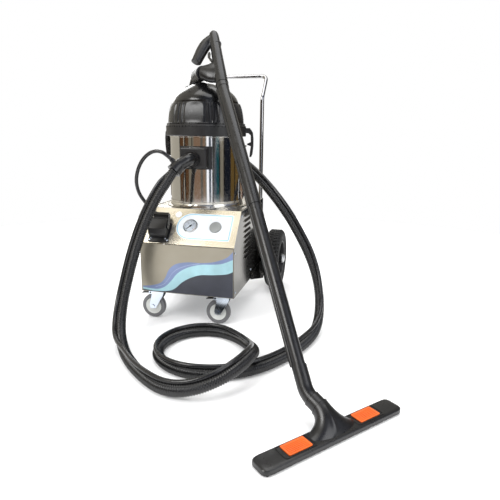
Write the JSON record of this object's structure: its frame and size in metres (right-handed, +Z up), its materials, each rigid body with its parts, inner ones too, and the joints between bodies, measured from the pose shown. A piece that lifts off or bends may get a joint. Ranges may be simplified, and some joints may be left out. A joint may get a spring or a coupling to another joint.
{
  "type": "steam cleaner",
  "caption": "Commercial steam cleaner with wet and dry vacuum: steel cabinet on wheels, drum and suction head, twin hose, wand and wide floor tool.",
  "frame": {"origin": "under the middle of the whole object, cords aside, on the floor", "axes": "+Z up; +Y from the front panel to the push handle at the rear; +X to the right seen from the front"},
  "size_m": [1.2331, 1.7402, 1.3121],
  "materials": {
    "galvanised": "zinc plated, matt",
    "stainless": "fine brushed",
    "polished": "polished stainless steel",
    "graphic": "printed film, satin",
    "overlay": "printed film, satin",
    "chrome": "bright chrome",
    "dial": "matt white with black divisions",
    "black_gloss": "high gloss",
    "glass": "clear",
    "black_plastic": "moulded satin",
    "grey_plastic": "moulded satin",
    "hose_black": "satin",
    "line_black": "satin",
    "filter": "pleated paper",
    "brass": "turned",
    "control_grey": "powder coat",
    "tyre": "matt moulded rubber",
    "zinc": "bright zinc plated",
    "grey_tyre": "matt grey rubber on a pale core",
    "orange": "ribbed satin",
    "strip_rubber": "matt"
  },
  "bodies": {
    "machine": {"base_pan": "galvanised", "cabinet_shell": "stainless", "fascia_panel": "stainless", "top_deck": "polished", "front_graphic": "graphic", "panel_overlay": "overlay", "gauge_case": "chrome", "gauge_dial": "dial", "gauge_glass": "glass", "socket_housing": "grey_plastic", "line_plug": "black_plastic", "drum_collar": "polished", "drum": "polished", "drum_clips": "polished", "inlet_box": "black_plastic", "inlet_elbow": "black_plastic", "hose_collar": "hose_black", "head_band": "black_plastic", "head_casing": "black_plastic", "head_dome": "black_gloss", "latch_keepers": "polished", "vacuum_motor": "galvanised", "filter_cartridge": "filter", "steam_boiler": "stainless", "water_pump": "brass", "control_box": "control_grey", "power_inlet": "black_plastic", "rear_axle": "galvanised", "axle_brackets": "stainless", "caster_plates": "galvanised", "push_handle": "chrome", "handle_clamps": "black_plastic", "cabinet_screws": "zinc", "wand_handle": "black_plastic", "hose_cuff": "hose_black", "wand_upper_tube": "black_plastic", "wand_lower_tube": "black_plastic", "wand_bend": "black_plastic", "twin_hose": "hose_black", "steam_line": "line_black"},
    "needle": {"gauge_needle": "black_gloss"},
    "knob": {"selector_knob": "black_plastic"},
    "lever": {"socket_lever": "black_plastic"},
    "latch_l": {"latch_left": "black_plastic"},
    "latch_r": {"latch_right": "black_plastic"},
    "wheel_l": {"wheel_rim_left": "black_plastic", "wheel_tyre_left": "tyre"},
    "wheel_r": {"wheel_rim_right": "black_plastic", "wheel_tyre_right": "tyre"},
    "fork_l": {"caster_fork_left": "zinc"},
    "fork_r": {"caster_fork_right": "zinc"},
    "castor_l": {"caster_wheel_left": "grey_tyre"},
    "castor_r": {"caster_wheel_right": "grey_tyre"},
    "pedal_l": {"brake_pedal_left": "black_plastic"},
    "pedal_r": {"brake_pedal_right": "black_plastic"},
    "trigger": {"steam_trigger": "black_plastic"},
    "tool": {"floor_tool": "black_plastic", "tool_strips": "strip_rubber"},
    "tab_l": {"tool_tab_left": "orange"},
    "tab_r": {"tool_tab_right": "orange"}
  },
  "joints": [
    {"name": "needle_turn", "type": "hinge", "parent": "machine", "child": "needle", "pos_m": [-0.284, 0.05961, 0.45132], "axis": [0, -0.7559, 0.6547], "range_deg": [-270, 0]},
    {"name": "knob_turn", "type": "hinge", "parent": "machine", "child": "knob", "pos_m": [-0.167, 0.05961, 0.45132], "axis": [0, -0.7559, 0.6547], "range_deg": [-60, 60]},
    {"name": "lever_turn", "type": "hinge", "parent": "machine", "child": "lever", "pos_m": [-0.418, 0.02228, 0.44793], "axis": [1, 0, 0], "range_deg": [0, 70]},
    {"name": "latch_left_turn", "type": "hinge", "parent": "machine", "child": "latch_l", "pos_m": [-0.47985, 0.33931, 0.872], "axis": [0.225, 0.9744, 0], "range_deg": [0, 95]},
    {"name": "latch_right_turn", "type": "hinge", "parent": "machine", "child": "latch_r", "pos_m": [-0.08815, 0.33931, 0.872], "axis": [0.225, -0.9744, 0], "range_deg": [0, 95]},
    {"name": "wheel_left_roll", "type": "hinge", "parent": "machine", "child": "wheel_l", "pos_m": [-0.5615, 0.6941, 0.165], "axis": [1, 0, 0], "continuous": true},
    {"name": "wheel_right_roll", "type": "hinge", "parent": "machine", "child": "wheel_r", "pos_m": [-0.0065, 0.6941, 0.165], "axis": [1, 0, 0], "continuous": true},
    {"name": "caster_left_swivel", "type": "hinge", "parent": "machine", "child": "fork_l", "pos_m": [-0.444, 0.0661, 0.14], "axis": [0, 0, 1], "continuous": true},
    {"name": "caster_right_swivel", "type": "hinge", "parent": "machine", "child": "fork_r", "pos_m": [-0.124, 0.0661, 0.14], "axis": [0, 0, 1], "continuous": true},
    {"name": "caster_left_roll", "type": "hinge", "parent": "fork_l", "child": "castor_l", "pos_m": [-0.476, 0.0661, 0.057], "axis": [0, 1, 0], "continuous": true},
    {"name": "caster_right_roll", "type": "hinge", "parent": "fork_r", "child": "castor_r", "pos_m": [-0.156, 0.0661, 0.057], "axis": [0, 1, 0], "continuous": true},
    {"name": "pedal_left_press", "type": "hinge", "parent": "fork_l", "child": "pedal_l", "pos_m": [-0.486, 0.0661, 0.125], "axis": [0, -1, 0], "range_deg": [0, 14]},
    {"name": "pedal_right_press", "type": "hinge", "parent": "fork_r", "child": "pedal_r", "pos_m": [-0.166, 0.0661, 0.125], "axis": [0, -1, 0], "range_deg": [0, 14]},
    {"name": "trigger_pull", "type": "hinge", "parent": "machine", "child": "trigger", "pos_m": [-0.22831, 0.2267, 1.16006], "axis": [0, 0.8393, -0.5436], "range_deg": [0, 6], "stiffness_Nm_per_rad": 1, "springref_deg": -2.86},
    {"name": "tool_swivel", "type": "hinge", "parent": "machine", "child": "tool", "pos_m": [0.3675, -0.6123, 0.065], "axis": [0.7695, -0.5185, -0.3729], "range_deg": [-30, 30]},
    {"name": "tab_left_slide", "type": "slide", "parent": "tool", "child": "tab_l", "axis": [0.6801, 0.7331, 0], "range_m": [0, 0.005]},
    {"name": "tab_right_slide", "type": "slide", "parent": "tool", "child": "tab_r", "axis": [-0.6801, -0.7331, 0], "range_m": [0, 0.005]}
  ]
}
